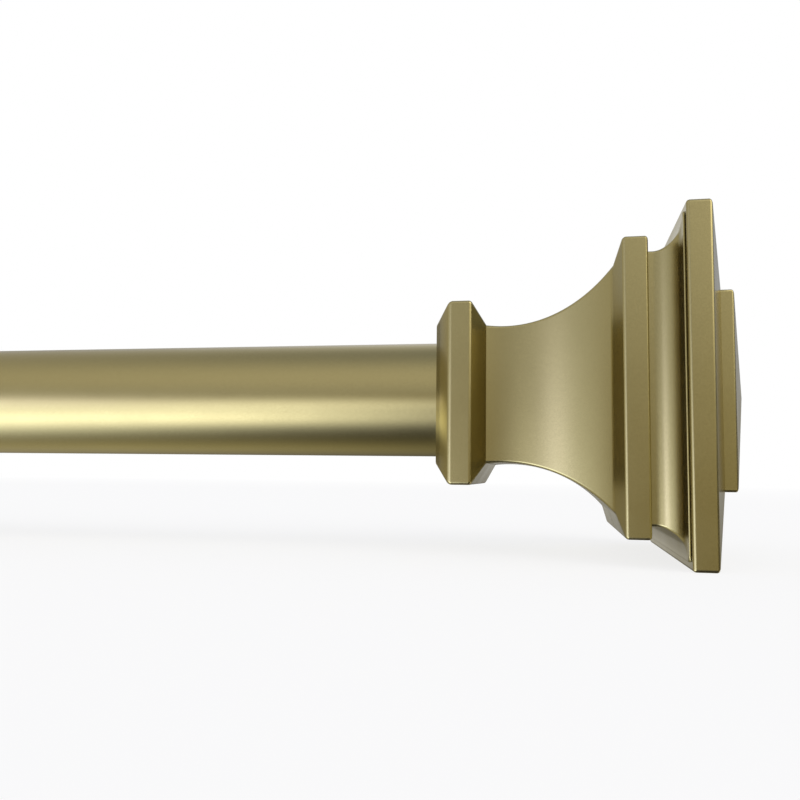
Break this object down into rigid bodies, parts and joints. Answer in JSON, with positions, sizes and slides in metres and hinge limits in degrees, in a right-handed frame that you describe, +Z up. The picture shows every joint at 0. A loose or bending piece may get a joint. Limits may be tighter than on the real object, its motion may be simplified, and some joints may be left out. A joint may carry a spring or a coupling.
{
  "type": "telescoping curtain rod",
  "caption": "Round telescoping curtain rod in satin gold with a stepped square finial on each end; it hangs a curtain across a window.",
  "frame": {"origin": "middle of the closed rod, on the axis of its tubes", "axes": "+X along the rod towards the finial on the thicker tube, +Z up, flat sides of the finials square to Y and Z"},
  "size_m": [0.8368, 0.0658, 0.0658],
  "materials": {
    "tube_gold": "satin champagne gold paint on thin steel tube",
    "finial_gold": "satin champagne gold metallic paint on moulded plastic",
    "plug_nylon": "black moulded nylon",
    "stud_steel": "zinc-plated threaded steel"
  },
  "bodies": {
    "outer_half": {"outer_tube": "tube_gold", "outer_tube_plug": "plug_nylon", "right_finial_body": "finial_gold", "right_finial_face": "finial_gold", "right_finial_stud": "stud_steel"},
    "inner_half": {"inner_tube": "tube_gold", "inner_tube_plug": "plug_nylon", "left_finial_body": "finial_gold", "left_finial_face": "finial_gold", "left_finial_stud": "stud_steel"}
  },
  "joints": [
    {"name": "telescope", "type": "slide", "parent": "outer_half", "child": "inner_half", "axis": [-1, 0, 0], "range_m": [0, 0.508]}
  ]
}
